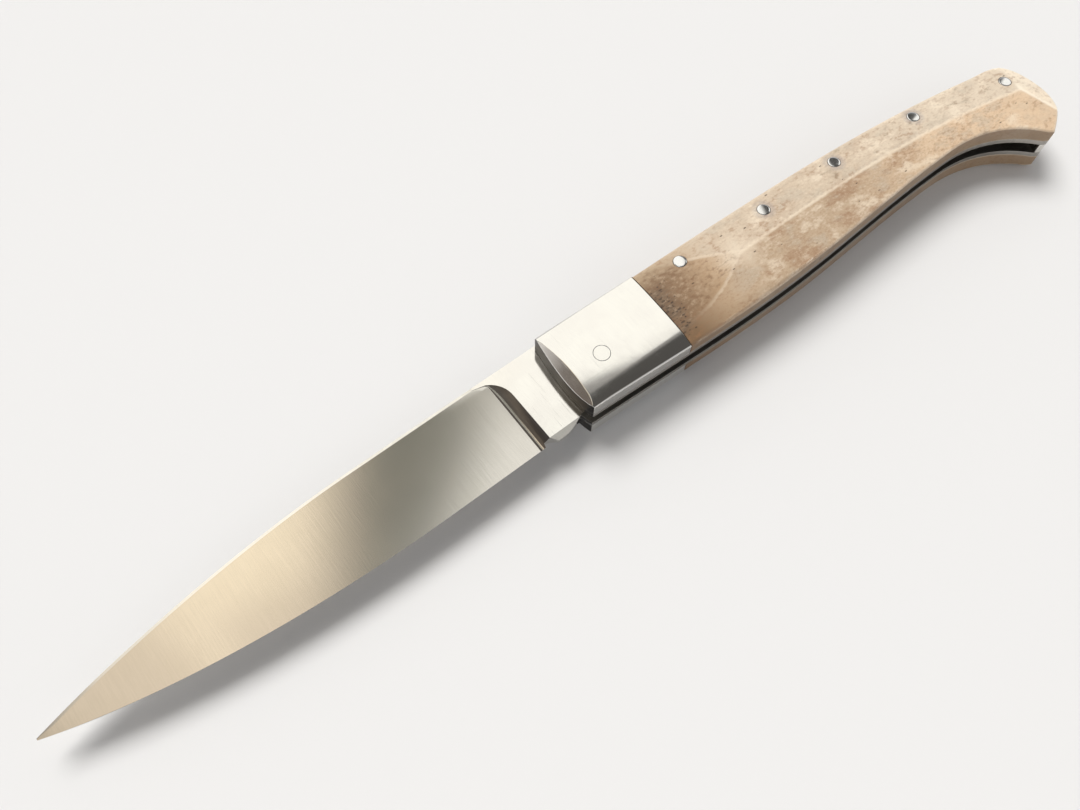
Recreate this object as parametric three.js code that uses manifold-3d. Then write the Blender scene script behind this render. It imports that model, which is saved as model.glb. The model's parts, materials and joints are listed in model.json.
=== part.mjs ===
// Folding pocket knife: a spear blade on a slip joint, steel bolsters and bone scales.
// Sizes are in millimetres. X runs from the tip to the tail, Y from the belly to the spine
// and Z up through the thickness, so the open knife lies on its side. Shapes are drawn
// round the pivot's axis with Z = 0 half way through the knife, and the finished knife is
// then moved so that it lies on the plane Z = 0 with the middle of its box over the origin.
import * as THREE from 'three';
import { mergeVertices } from 'three/addons/utils/BufferGeometryUtils.js';
import Module from 'manifold-3d';

const wasm = await Module();
wasm.setup();

// Thicknesses, stacked outwards from the middle of the knife
const bladeThickness = 2.14;
const bladeSideClearance = 0.1;
const linerThickness = 1.0;
const bolsterCrownHeight = 3.33;
const ridgeHeight = 3.83;
const landCut = 0.1;

// Blade outline, measured from the pivot's axis
const bladeReach = 103.9;
const tipHeight = 2.72;
const tipWidth = 0.3;
const spineHeight = 10.2;
const edgeDepth = 6.25;
const spineBendReach = 46;
const edgeBendReach = 38;
const spineBendHandle = 18;
const edgeBendHandle = 20;
const spineTipHandle = [18.7, 4.85];
const edgeTipHandle = [19.7, 6.75];

// Blade grind
const heelReach = 17;
const plungeReach = 15.6;
const plungeRun = 2.9;
const plungeCornerRadius = 4;
const plungeFade = 14.5;
const plungeOverlap = 1;
const spineFlatWidth = 0.7;
const edgeThickness = 0.24;
const tipThickness = 0.9;

// Tang, its flats that the spring bears on, and the kick that stops the closed blade
const closedAngle = 177;
const tangFlatDepth = 4.8;
const tangBackRadius = 5.4;
const shoulderReach = 4;
const ricassoDepth = 5.5;
const kickReach = 14.5;
const kickEndReach = 8.4;
const kickDepth = 6.62;
const kickWidth = 1.3;
const kickHandle = 1.9;
const pivotRadius = 1.5;
const pivotClearance = 0.06;

// Handle outline: the tail, its beak and the waist are set out from the closed blade's tip
const tipCover = 8.3;
const tailReach = bladeReach + tipCover;
const frontReach = 7.3;
const frontSlant = 0.02;
const frontBow = 1.85;
const frontBowDepth = 2.5;
const spineFrontHeight = 9.6;
const spineCurveReach = 45;
const spineCurveHeight = 8.35;
const spineCurveHandle = 35;
const tailTopReach = tailReach - 9.2;
const tailTopHeight = 3.2;
const tailTopHandle = [5.8, 1.0];
const tailTopBulge = 4.9;
const tailDepth = 5.2;
const tailLowBulge = 5.1;
const beakReach = tailReach - 8.4;
const beakDepth = 16.15;
const beakHandle = [5.4, 2.95];
const beakFaceLength = 1.2;
const beakFaceAngle = 147;
const throatHandle = [4.6, 5.6];
const waistReach = tailReach - 29.2;
const waistDepth = 6.95;
const waistHandle = 8.5;
const swellReach = 35;
const swellDepth = 8.78;
const swellHandle = 18;
const bellyFrontDepth = 7.1;
const bellyFrontHandle = 14;
const bellyFrontDrop = 0.6;

// Bolster
const bolsterRearReach = 14;
const endSlant = 0.045;
const crownRadius = 90;
const crownOffset = 1.3;
const crownHalfWidth = 6;
const shoulderRadius = 11;
const shoulderWidth = 3.6;
const frontRampRun = 1.95;
const frontRampRise = 0.85;
const bolsterJointGap = 0.12;

// Scale facets: slopes are rises per millimetre
const domeSlope = 0.026;
const apexReach = 33;
const ridgeOffset = 0.6;
const ridgeSag = 5.2;
const spineFacetSlope = 0.065;
const bellyFacetSlope = 0.092;
const tailFacetReach = tailReach - 7.9;
const tailFacetSlope = 0.22;

// Backspring
const springSeatGap = 0.05;
const springEndGap = 0.12;
const springEdgeClearance = 0.5;
const springBendRun = 9;
const kickSeatGap = 0.3;
const kickSeatRun = 2.5;
const kickSeatSlope = 2.2;
const springMiddleDepth = 2.4;
const springRearDepth = 0.9;
const springTipClearance = 1.6;
const springHookHandle = 2.2;
const springRearHandle = 12;

// Pins and rivets
const pinRadius = 1.25;
const pinClearance = 0.06;
const pinHeadRise = 0.14;
const pinHeadDrop = 0.14;
const bolsterRivetRadius = 0.8;
const bolsterRivetDepth = 1.6;
const scaleRivets = [[23.3, 5.9], [43.5, 5.0]];
const springPins = [[62.4, 4.95], [tailReach - 28.8, 3.4], [tailReach - 6.7, -1.7]];
const springPinPlaces = ['middle', 'rear', 'tail'];
const bolsterRivets = [[9.6, 5.9], [9.2, -4.9]];

// Levels above the middle of the knife
const halfBlade = bladeThickness / 2;
const halfSlot = halfBlade + bladeSideClearance;
const linerTop = halfSlot + linerThickness;
const bolsterCrown = linerTop + bolsterCrownHeight;
const ridgeLevel = linerTop + ridgeHeight;
const landLevel = ridgeLevel - landCut;

const steps = 12;
const roundSteps = 24;
const plungeSteps = 6;
const domeShares = [0.5, 1];
const sectionShares = [0, 0.3, 0.55, 0.72, 0.84, 0.92, 0.97, 1];
const beyond = 40;
const radians = THREE.MathUtils.degToRad;
const closedTilt = radians(180 - closedAngle);

// Finishes
const satinSteel = { color: 0xb9b5ad, roughness: 0.32, metalness: 1 };
const polishedSteel = { color: 0xd8d6d0, roughness: 0.14, metalness: 1 };
const linerSteel = { color: 0x8d8a84, roughness: 0.4, metalness: 1 };
const bone = { color: 0xd2b48c, roughness: 0.42, metalness: 0 };

const knife = new THREE.Group();

// A closed solid through loops of points that all have the same count
function loft(loops) {
  const count = loops[0].length;
  const index = [];
  for (let ring = 0; ring + 1 < loops.length; ring += 1) {
    for (let i = 0; i < count; i += 1) {
      const a = ring * count + i;
      const b = ring * count + ((i + 1) % count);
      index.push(a, b, b + count, a, b + count, a + count);
    }
  }
  const last = (loops.length - 1) * count;
  for (let i = 1; i + 1 < count; i += 1) {
    index.push(0, i + 1, i);
    index.push(last, last + i, last + i + 1);
  }
  const geometry = new THREE.BufferGeometry();
  geometry.setAttribute('position', new THREE.Float32BufferAttribute(loops.flat(2), 3));
  geometry.setIndex(index);
  return facesOut(geometry);
}

// Turns every triangle over when the solid's volume comes out negative
function facesOut(geometry) {
  const position = geometry.getAttribute('position');
  const index = geometry.getIndex().array;
  const corners = [new THREE.Vector3(), new THREE.Vector3(), new THREE.Vector3()];
  let volume = 0;
  for (let i = 0; i < index.length; i += 3) {
    corners.forEach((corner, k) => corner.fromBufferAttribute(position, index[i + k]));
    volume += corners[0].dot(corners[1].cross(corners[2]));
  }
  if (volume < 0) {
    for (let i = 0; i < index.length; i += 3) {
      [index[i], index[i + 1]] = [index[i + 1], index[i]];
    }
  }
  return geometry;
}

// A manifold solid from a closed geometry, for joining and cutting
function toSolid(geometry) {
  const bare = geometry.clone();
  bare.deleteAttribute('normal');
  bare.deleteAttribute('uv');
  const merged = facesOut(mergeVertices(bare));
  const vertProperties = new Float32Array(merged.getAttribute('position').array);
  const triVerts = new Uint32Array(merged.getIndex().array);
  return new wasm.Manifold(new wasm.Mesh({ numProp: 3, vertProperties, triVerts }));
}

function toGeometry(solid) {
  const { numProp, vertProperties, triVerts } = solid.getMesh();
  const geometry = new THREE.BufferGeometry();
  geometry.setAttribute('position', new THREE.Float32BufferAttribute(vertProperties, numProp));
  geometry.setIndex(new THREE.BufferAttribute(triVerts, 1));
  return geometry;
}

function addPiece(name, solid, finish) {
  const material = new THREE.MeshStandardMaterial({ ...finish, flatShading: true });
  const piece = new THREE.Mesh(toGeometry(solid), material);
  piece.name = name;
  knife.add(piece);
}

// The same solid on the other side of the knife's middle plane
function toOtherSide(solid) {
  return toSolid(toGeometry(solid).scale(1, 1, -1));
}

function slab(shape, low, high) {
  const options = { depth: high - low, bevelEnabled: false, curveSegments: steps };
  return toSolid(new THREE.ExtrudeGeometry(shape, options).translate(0, 0, low));
}

function rod(radius, low, high, [x, y]) {
  const geometry = new THREE.CylinderGeometry(radius, radius, high - low, roundSteps);
  return toSolid(geometry.rotateX(Math.PI / 2).translate(x, y, (low + high) / 2));
}

// Everything above a plane through a line along Y that rises by slope along X
function spaceAbove(x, level, slope) {
  const geometry = new THREE.BoxGeometry(8 * beyond, 8 * beyond, beyond);
  geometry.translate(0, 0, beyond / 2).rotateY(-Math.atan(slope));
  return toSolid(geometry.translate(x, 0, level));
}

const frontEdge = (y) => -frontReach + frontSlant * y;
const foremost = -frontReach - frontBow / 2;
const spineSlope = (spineCurveHeight - spineFrontHeight) / (spineCurveReach + frontReach);

// Spine and tail, from the front to the beak's point
function drawSpineAndTail(shape) {
  const [along, down] = tailTopHandle;
  shape.lineTo(spineCurveReach, spineCurveHeight);
  shape.bezierCurveTo(
    spineCurveReach + spineCurveHandle, spineCurveHeight + spineSlope * spineCurveHandle,
    tailTopReach - along, tailTopHeight + down,
    tailTopReach, tailTopHeight,
  );
  shape.bezierCurveTo(
    tailTopReach + along, tailTopHeight - down,
    tailReach, -tailDepth + tailTopBulge,
    tailReach, -tailDepth,
  );
  shape.bezierCurveTo(
    tailReach, -tailDepth - tailLowBulge,
    beakReach + beakHandle[0], -beakDepth + beakHandle[1],
    beakReach, -beakDepth,
  );
}

function beakInnerCorner() {
  const turn = radians(beakFaceAngle);
  const x = beakReach + beakFaceLength * Math.cos(turn);
  return [x, -beakDepth + beakFaceLength * Math.sin(turn)];
}

function drawHandle() {
  const shape = new THREE.Shape();
  const [innerX, innerY] = beakInnerCorner();
  const frontX = frontEdge(-bellyFrontDepth);
  shape.moveTo(frontEdge(spineFrontHeight), spineFrontHeight);
  drawSpineAndTail(shape);
  shape.lineTo(innerX, innerY);
  shape.bezierCurveTo(
    innerX - throatHandle[0], innerY + throatHandle[1],
    waistReach + waistHandle, -waistDepth,
    waistReach, -waistDepth,
  );
  shape.bezierCurveTo(
    waistReach - swellHandle, -waistDepth,
    swellReach + swellHandle, -swellDepth,
    swellReach, -swellDepth,
  );
  shape.bezierCurveTo(
    swellReach - bellyFrontHandle, -swellDepth,
    frontX + bellyFrontHandle, -bellyFrontDepth - bellyFrontDrop,
    frontX, -bellyFrontDepth,
  );
  shape.quadraticCurveTo(
    -frontReach - frontBow, -frontBowDepth,
    frontEdge(spineFrontHeight), spineFrontHeight,
  );
  return shape;
}

// A slanted strip across the handle, between two positions along it
function strip(rear, front) {
  const shape = new THREE.Shape();
  shape.moveTo(front - endSlant * beyond, -beyond);
  shape.lineTo(rear - endSlant * beyond, -beyond);
  shape.lineTo(rear + endSlant * beyond, beyond);
  shape.lineTo(front + endSlant * beyond, beyond);
  shape.closePath();
  return slab(shape, -beyond, beyond);
}

// The crowned roof of the bolsters, which the scales' front ends carry on at a slope
function crownLevel(y) {
  const away = Math.abs(y - crownOffset);
  const middle = Math.min(away, crownHalfWidth);
  const over = THREE.MathUtils.clamp(away - crownHalfWidth, 0, shoulderWidth);
  const shoulder = over * (crownHalfWidth / crownRadius + over / (2 * shoulderRadius));
  return bolsterCrown - middle ** 2 / (2 * crownRadius) - shoulder;
}

function crownRoof(slope) {
  const aways = [beyond];
  for (let i = steps / 2; i > 0; i -= 1) aways.push(crownHalfWidth + (2 * shoulderWidth * i) / steps);
  for (let i = steps / 4; i > 0; i -= 1) aways.push((4 * crownHalfWidth * i) / steps);
  const across = [...aways, 0, ...aways.map((away) => -away).reverse()];
  const loopAt = (x) => {
    const rise = slope * (x - bolsterRearReach);
    const roof = across.map((away) => [x, crownOffset + away, crownLevel(crownOffset + away) + rise]);
    return [[x, crownOffset - beyond, 0], [x, crownOffset + beyond, 0], ...roof];
  };
  const near = slope > 0 ? bolsterRearReach - bolsterJointGap : -beyond;
  return toSolid(loft([loopAt(near - 1), loopAt(tailReach + beyond)]));
}

// The two long facets that meet in the ridge
function ridgeAt(x) {
  const along = Math.max(0, x - apexReach) / (tailFacetReach - apexReach);
  return ridgeOffset - ridgeSag * along ** 3;
}

function facetRoof() {
  const loopAt = (x) => {
    const ridge = ridgeAt(x);
    return [
      [x, ridge - beyond, 0],
      [x, ridge + beyond, 0],
      [x, ridge + beyond, ridgeLevel - spineFacetSlope * beyond],
      [x, ridge, ridgeLevel],
      [x, ridge - beyond, ridgeLevel - bellyFacetSlope * beyond],
    ];
  };
  const loops = [loopAt(-beyond)];
  for (let i = 0; i <= steps; i += 1) {
    loops.push(loopAt(THREE.MathUtils.lerp(apexReach, tailReach + beyond / 4, i / steps)));
  }
  return toSolid(loft(loops));
}

function scaleLevel([x, y]) {
  const crown = crownLevel(y) + domeSlope * (x - bolsterRearReach);
  const side = y - ridgeAt(x);
  const facet = ridgeLevel - (side > 0 ? spineFacetSlope : -bellyFacetSlope) * side;
  const tail = ridgeLevel - tailFacetSlope * Math.max(0, x - tailFacetReach);
  return Math.min(landLevel, crown, facet, tail);
}

function makeBolster(handle) {
  const ramp = spaceAbove(foremost, bolsterCrown - frontRampRise, frontRampRise / frontRampRun);
  let body = slab(handle, linerTop, bolsterCrown).intersect(strip(bolsterRearReach, -beyond));
  body = body.intersect(crownRoof(0)).subtract(ramp);
  body = body.subtract(rod(pivotRadius + pinClearance, -beyond, beyond, [0, 0]));
  for (const place of bolsterRivets) {
    const top = linerTop + bolsterRivetDepth + pinClearance;
    body = body.subtract(rod(bolsterRivetRadius + pinClearance, 0, top, place));
  }
  return body;
}

function makeScale(handle) {
  const tail = spaceAbove(tailFacetReach, ridgeLevel, -tailFacetSlope);
  let body = slab(handle, linerTop, landLevel);
  body = body.intersect(strip(tailReach + beyond, bolsterRearReach + bolsterJointGap));
  body = body.intersect(crownRoof(domeSlope)).intersect(facetRoof()).subtract(tail);
  for (const place of [...scaleRivets, ...springPins]) {
    body = body.subtract(rod(pinRadius + pinClearance, -beyond, beyond, place));
  }
  return body;
}

function makeLiner(handle) {
  let body = slab(handle, halfSlot, linerTop);
  body = body.subtract(rod(pivotRadius + pinClearance, -beyond, beyond, [0, 0]));
  for (const place of [...scaleRivets, ...springPins]) {
    body = body.subtract(rod(pinRadius + pinClearance, -beyond, beyond, place));
  }
  for (const place of bolsterRivets) {
    body = body.subtract(rod(bolsterRivetRadius + pinClearance, -beyond, beyond, place));
  }
  return body;
}

// Height of the closed blade's straight edge over the pivot at a place along the handle
function closedEdge(x) {
  return edgeDepth / Math.cos(closedTilt) - x * Math.tan(closedTilt);
}

function turnedClosed(x, y) {
  return new THREE.Vector2(x, y).rotateAround(new THREE.Vector2(), radians(closedAngle));
}

function makeBackspring() {
  const shape = new THREE.Shape();
  const front = -shoulderReach + springEndGap;
  const seat = tangFlatDepth + springSeatGap;
  const kick = turnedClosed(-kickReach, -kickDepth);
  const kickSeat = kick.y + kickSeatGap;
  const tip = turnedClosed(-bladeReach, tipHeight);
  const inside = tip.x + springTipClearance;
  const [middleX] = springPins[0];
  const [rearX] = springPins[1];
  const [innerX, innerY] = beakInnerCorner();
  const bendX = middleX - springBendRun;
  const heelX = heelReach + kickSeatRun;
  shape.moveTo(front, seat);
  shape.lineTo(front, spineFrontHeight + spineSlope * (front + frontReach));
  drawSpineAndTail(shape);
  shape.lineTo(innerX, innerY);
  shape.bezierCurveTo(
    innerX + springHookHandle, innerY + 2 * springHookHandle,
    inside, tip.y - springHookHandle,
    inside, tip.y,
  );
  shape.bezierCurveTo(
    inside, tip.y + 2 * springHookHandle,
    rearX + springRearHandle, -springRearDepth,
    rearX, springRearDepth,
  );
  shape.lineTo(middleX, springMiddleDepth);
  shape.lineTo(bendX, closedEdge(bendX) + springEdgeClearance);
  shape.lineTo(heelX, closedEdge(heelX) + springEdgeClearance);
  shape.lineTo(heelX - kickSeatRun / 2, kickSeat);
  shape.lineTo(kickEndReach + kickSeatSlope, kickSeat);
  shape.lineTo(kickEndReach, seat);
  shape.closePath();
  let body = slab(shape, -halfSlot, halfSlot);
  for (const place of springPins) {
    body = body.subtract(rod(pinRadius + pinClearance, -beyond, beyond, place));
  }
  return body;
}

// Ricasso and tang, full thickness, with the kick under the ricasso
function makeTang() {
  const shape = new THREE.Shape();
  const half = Math.acos(tangFlatDepth / tangBackRadius);
  const lowEnd = -Math.PI / 2 + closedTilt + half;
  const flatAt = (x) => (x * Math.sin(closedTilt) - tangFlatDepth) / Math.cos(closedTilt);
  shape.moveTo(-plungeReach, spineHeight);
  shape.lineTo(-shoulderReach, spineHeight);
  shape.lineTo(-shoulderReach, tangFlatDepth);
  shape.absarc(0, 0, tangBackRadius, Math.PI / 2 - half, lowEnd, true);
  shape.lineTo(-kickEndReach, flatAt(-kickEndReach));
  shape.quadraticCurveTo(
    -kickReach + kickWidth + kickHandle, -kickDepth,
    -kickReach + kickWidth, -kickDepth,
  );
  shape.lineTo(-kickReach, -kickDepth);
  shape.lineTo(-plungeReach, -ricassoDepth);
  shape.closePath();
  return slab(shape, -halfBlade, halfBlade);
}

// The ground blade: sections across it, from the tip to the ricasso
const spineCurve = new THREE.CubicBezierCurve(
  new THREE.Vector2(-bladeReach, tipHeight + tipWidth),
  new THREE.Vector2(-bladeReach + spineTipHandle[0], tipHeight + spineTipHandle[1]),
  new THREE.Vector2(-spineBendReach - spineBendHandle, spineHeight),
  new THREE.Vector2(-spineBendReach, spineHeight),
);
const edgeCurve = new THREE.CubicBezierCurve(
  new THREE.Vector2(-bladeReach, tipHeight),
  new THREE.Vector2(-bladeReach + edgeTipHandle[0], tipHeight - edgeTipHandle[1]),
  new THREE.Vector2(-edgeBendReach - edgeBendHandle, -edgeDepth),
  new THREE.Vector2(-edgeBendReach, -edgeDepth),
);

function heightOn(curve, x, straight) {
  if (x >= curve.v3.x) return straight;
  let low = 0;
  let high = 1;
  for (let i = 0; i < roundSteps; i += 1) {
    const middle = (low + high) / 2;
    if (curve.getPoint(middle).x < x) low = middle;
    else high = middle;
  }
  return curve.getPoint(low).y;
}

// One section: fill is how far the plunge has thickened it, bend how far its top leans
function bladeLoop(x, fill, bend) {
  const taper = THREE.MathUtils.clamp((-x - heelReach) / (bladeReach - heelReach), 0, 1);
  const halfSpine = THREE.MathUtils.lerp(halfBlade, tipThickness / 2, taper);
  const edge = x > -heelReach ? -ricassoDepth : heightOn(edgeCurve, x, -edgeDepth);
  const spine = heightOn(spineCurve, x, spineHeight);
  const grindTop = spine - Math.min(spineFlatWidth, (spine - edge) / 4);
  const top = sectionShares.map((share) => {
    const y = THREE.MathUtils.lerp(edge, grindTop, share);
    const over = THREE.MathUtils.clamp(y - grindTop + plungeCornerRadius, 0, plungeCornerRadius);
    const curl = plungeCornerRadius - Math.sqrt(plungeCornerRadius ** 2 - over ** 2);
    const ground = THREE.MathUtils.lerp(edgeThickness / 2, halfSpine, share);
    return [x - curl * bend, y, THREE.MathUtils.lerp(ground, halfSpine, fill)];
  });
  top.push([x - plungeCornerRadius * bend, spine, halfSpine]);
  const bottom = top.map(([across, y, level]) => [across, y, -level]).reverse();
  return [...top, ...bottom];
}

function makeGroundBlade() {
  const grindEnd = -plungeReach - plungeRun;
  const loops = [];
  for (let i = 0; i < 2 * steps; i += 1) {
    const x = THREE.MathUtils.lerp(-bladeReach, grindEnd, i / (2 * steps));
    loops.push(bladeLoop(x, 0, THREE.MathUtils.smoothstep(x, grindEnd - plungeFade, grindEnd)));
  }
  for (let i = 0; i <= plungeSteps; i += 1) {
    const turn = (Math.PI / 2) * (i / plungeSteps);
    loops.push(bladeLoop(-plungeReach - plungeRun * Math.cos(turn), 1 - Math.cos(turn), 1));
  }
  loops.push(bladeLoop(-plungeReach + plungeOverlap, 1, 0));
  return toSolid(loft(loops));
}

function makeBlade() {
  const hole = rod(pivotRadius + pivotClearance, -beyond, beyond, [0, 0]);
  return makeTang().add(makeGroundBlade()).subtract(hole);
}

// A pin that ends in shallow domes, or a rivet whose inner end is flat
function domedPin([x, y], low, high, domedLow) {
  const profile = [new THREE.Vector2(0, low)];
  const dome = (level, drop) => (share) => new THREE.Vector2(pinRadius * share, level + drop * share ** 2);
  if (domedLow) profile.push(...domeShares.map(dome(low, pinHeadDrop)));
  else profile.push(new THREE.Vector2(pinRadius, low));
  profile.push(...domeShares.map(dome(high, -pinHeadDrop)).reverse());
  profile.push(new THREE.Vector2(0, high));
  const geometry = new THREE.LatheGeometry(profile, roundSteps);
  return toSolid(geometry.rotateX(Math.PI / 2).translate(x, y, 0));
}

const handle = drawHandle();
const bolster = makeBolster(handle);
const scale = makeScale(handle);
const liner = makeLiner(handle);

addPiece('blade', makeBlade(), satinSteel);
addPiece('backspring', makeBackspring(), polishedSteel);
addPiece('liner_upper', liner, linerSteel);
addPiece('liner_lower', toOtherSide(liner), linerSteel);
addPiece('bolster_upper', bolster, polishedSteel);
addPiece('bolster_lower', toOtherSide(bolster), polishedSteel);
addPiece('scale_upper', scale, bone);
addPiece('scale_lower', toOtherSide(scale), bone);

const pivotBar = rod(pivotRadius, -bolsterCrown, bolsterCrown, [0, 0]);
const crown = crownRoof(0);
addPiece('pivot_pin', pivotBar.intersect(crown.add(toOtherSide(crown))), polishedSteel);

springPins.forEach((place, i) => {
  const level = scaleLevel(place) + pinHeadRise;
  const pin = domedPin(place, -level, level, true);
  addPiece(`spring_pin_${springPinPlaces[i]}`, pin, polishedSteel);
});
scaleRivets.forEach((place, i) => {
  const rivet = domedPin(place, halfSlot, scaleLevel(place) + pinHeadRise, false);
  addPiece(`scale_rivet_upper_${i + 1}`, rivet, polishedSteel);
  addPiece(`scale_rivet_lower_${i + 1}`, toOtherSide(rivet), polishedSteel);
});
bolsterRivets.forEach((place, i) => {
  const rivet = rod(bolsterRivetRadius, halfSlot, linerTop + bolsterRivetDepth, place);
  addPiece(`bolster_rivet_upper_${i + 1}`, rivet, polishedSteel);
  addPiece(`bolster_rivet_lower_${i + 1}`, toOtherSide(rivet), polishedSteel);
});

const box = new THREE.Box3().setFromObject(knife);
const middle = box.getCenter(new THREE.Vector3());
knife.position.set(-middle.x, -middle.y, -box.min.z);

export default knife;
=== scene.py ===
import json
import math
from functools import partial

import bmesh
import bpy
from mathutils import Matrix, Vector


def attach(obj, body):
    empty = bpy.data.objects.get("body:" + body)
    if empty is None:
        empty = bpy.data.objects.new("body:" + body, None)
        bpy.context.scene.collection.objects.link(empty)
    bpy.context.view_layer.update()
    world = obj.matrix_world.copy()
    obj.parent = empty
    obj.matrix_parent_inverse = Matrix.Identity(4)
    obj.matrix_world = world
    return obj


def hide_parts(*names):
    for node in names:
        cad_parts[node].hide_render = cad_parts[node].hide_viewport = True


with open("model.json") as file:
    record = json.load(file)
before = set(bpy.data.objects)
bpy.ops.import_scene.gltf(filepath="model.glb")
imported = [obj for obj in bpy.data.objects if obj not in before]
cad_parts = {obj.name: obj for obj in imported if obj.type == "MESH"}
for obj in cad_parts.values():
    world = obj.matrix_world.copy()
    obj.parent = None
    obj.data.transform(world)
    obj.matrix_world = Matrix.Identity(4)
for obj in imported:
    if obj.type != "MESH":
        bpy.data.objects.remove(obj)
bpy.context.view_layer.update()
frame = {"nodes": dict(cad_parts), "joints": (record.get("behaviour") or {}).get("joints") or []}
nodes = frame["nodes"]
mm = 0.001

# The knife's places and lengths are in millimetres from the pivot's axis, half way through the knife
pivot = Vector(frame["joints"][0]["pos_m"])


def place(x, y, z):
    return pivot + Vector((x, y, z)) * mm


def local(co):
    return (co - pivot) / mm


def clamp(value, low, high):
    return min(high, max(low, value))


# How far a value is from one end toward the other, between 0 and 1
def shareOf(value, start, end):
    return clamp((value - start) / (end - start), 0, 1)


# Selecting, copying and shaping

def only(piece):
    bpy.ops.object.select_all(action="DESELECT")
    piece.select_set(True)
    bpy.context.view_layer.objects.active = piece


def mode(name):
    bpy.ops.object.mode_set(mode=name)


def select(piece, kind, wanted):
    bpy.ops.mesh.select_mode(type=kind)
    bpy.ops.mesh.select_all(action="DESELECT")
    mesh = bmesh.from_edit_mesh(piece.data)
    for part in mesh.faces if kind == "FACE" else mesh.edges:
        if wanted(part):
            part.select_set(True)
    bmesh.update_edit_mesh(piece.data)


def selectAll():
    bpy.ops.mesh.select_all(action="SELECT")


def dissolve(angle):
    bpy.ops.mesh.dissolve_limited(angle_limit=math.radians(angle))


def smooth(piece, angle):
    only(piece)
    bpy.ops.object.shade_smooth_by_angle(angle=math.radians(angle))


def middleOf(edge):
    return local((edge.verts[0].co + edge.verts[1].co) / 2)


def turnAt(edge):
    return math.degrees(edge.calc_face_angle(0))


def newObject(name, data):
    made = bpy.data.objects.new(name, data)
    bpy.context.scene.collection.objects.link(made)
    return made


# A CAD node's copy: its points join within mergeGap mm, and faces flat within flatAngle degrees are one
copyLook = {"mergeGap": 0.002, "flatAngle": 0.1}


def copyOf(nodeName, pieceName):
    piece = newObject(pieceName, nodes[nodeName].data.copy())
    piece.data.materials.clear()
    only(piece)
    bpy.ops.mesh.customdata_custom_splitnormals_clear()
    mode("EDIT")
    selectAll()
    bpy.ops.mesh.remove_doubles(threshold=copyLook["mergeGap"] * mm)
    bpy.ops.mesh.mark_sharp(clear=True)
    dissolve(copyLook["flatAngle"])
    mode("OBJECT")
    return piece


# While a piece is shaped, its top faces and its rounded edges are told apart by material index
topMark, roundedMark = 1, 2


def markTop(piece, wanted, mergeAngle):
    for _ in range(3):
        piece.data.materials.append(None)
    only(piece)
    mode("EDIT")
    select(piece, "FACE", wanted)
    dissolve(mergeAngle)
    mesh = bmesh.from_edit_mesh(piece.data)
    for face in mesh.faces:
        if wanted(face):
            face.material_index = topMark
    mode("OBJECT")


def isTop(face):
    return face.material_index == topMark


def clearMarks(piece):
    for face in piece.data.polygons:
        face.material_index = 0
    piece.data.materials.clear()


# Rounds the edges that a rule gives a width, in millimetres
def roundEdges(piece, widthAt, segments=3):
    only(piece)
    widths = {}
    mesh = bmesh.new()
    mesh.from_mesh(piece.data)
    for edge in mesh.edges:
        widths[edge.index] = widthAt(edge) if len(edge.link_faces) == 2 else 0
    mesh.free()
    widest = max(widths.values())
    weights = piece.data.attributes.new("bevel_weight_edge", "FLOAT", "EDGE")
    for index, width in widths.items():
        weights.data[index].value = width / widest
    bevel = piece.modifiers.new("rounding", "BEVEL")
    bevel.limit_method = "WEIGHT"
    bevel.width = widest * mm
    bevel.segments = segments
    bevel.use_clamp_overlap = False
    bevel.material = roundedMark
    bpy.ops.object.modifier_apply(modifier=bevel.name)
    left = piece.data.attributes.get("bevel_weight_edge")
    if left:
        piece.data.attributes.remove(left)


# Cuts the chosen faces into bands at even spacing, so that they can take a curved shape
def band(piece, wanted, axis, low, high, step):
    only(piece)
    mode("EDIT")
    count = int((high - low) / step)
    for i in range(1, count):
        at = low + (high - low) * i / count
        select(piece, "FACE", wanted)
        bpy.ops.mesh.bisect(
            plane_co=place(*(at if k == axis else 0 for k in range(3))),
            plane_no=[1 if k == axis else 0 for k in range(3)],
        )
    mode("OBJECT")


def liftTo(piece, wanted, levelAt):
    mesh = bmesh.new()
    mesh.from_mesh(piece.data)
    moved = {v for face in mesh.faces if wanted(face) for v in face.verts}
    for v in moved:
        x, y = local(v.co)[:2]
        v.co.z = pivot.z + levelAt(x, y) * mm
    mesh.to_mesh(piece.data)
    mesh.free()


def finishNormals(piece, angle=32):
    smooth(piece, angle)
    weighted = piece.modifiers.new("normals", "WEIGHTED_NORMAL")
    weighted.keep_sharp = True
    bpy.ops.object.modifier_apply(modifier=weighted.name)


# The same piece on the knife's other side
def otherSide(piece, pieceName):
    twin = newObject(pieceName, piece.data.copy())
    flip = Matrix.Translation(pivot) @ Matrix.Scale(-1, 4, (0, 0, 1)) @ Matrix.Translation(-pivot)
    twin.data.transform(flip)
    only(twin)
    mode("EDIT")
    selectAll()
    bpy.ops.mesh.flip_normals()
    mode("OBJECT")
    return twin


def put(piece, nodeName, body, slotName, *finishes):
    for finish in finishes:
        piece.data.materials.append(finish)
    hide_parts(nodeName)
    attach(piece, body)


# Node helpers: an input is given a value or the socket that feeds it

def feed(tree, node, inputs):
    for name, value in inputs.items():
        if isinstance(value, bpy.types.NodeSocket):
            tree.links.new(value, node.inputs[name])
        else:
            node.inputs[name].default_value = value
    return node


def add(tree, kind, inputs=None, **settings):
    node = tree.nodes.new(kind)
    for name, value in settings.items():
        setattr(node, name, value)
    return feed(tree, node, inputs or {})


def maths(tree, operation, *values):
    return add(tree, "ShaderNodeMath", dict(enumerate(values)), operation=operation).outputs[0]


def times(tree, product, *others):
    for value in others:
        product = maths(tree, "MULTIPLY", product, value)
    return product


def mixColors(tree, share, first, second):
    first, second = ((*color, 1) if isinstance(color, tuple) else color for color in (first, second))
    return add(tree, "ShaderNodeMix", {0: share, 6: first, 7: second}, data_type="RGBA").outputs[2]


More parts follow.
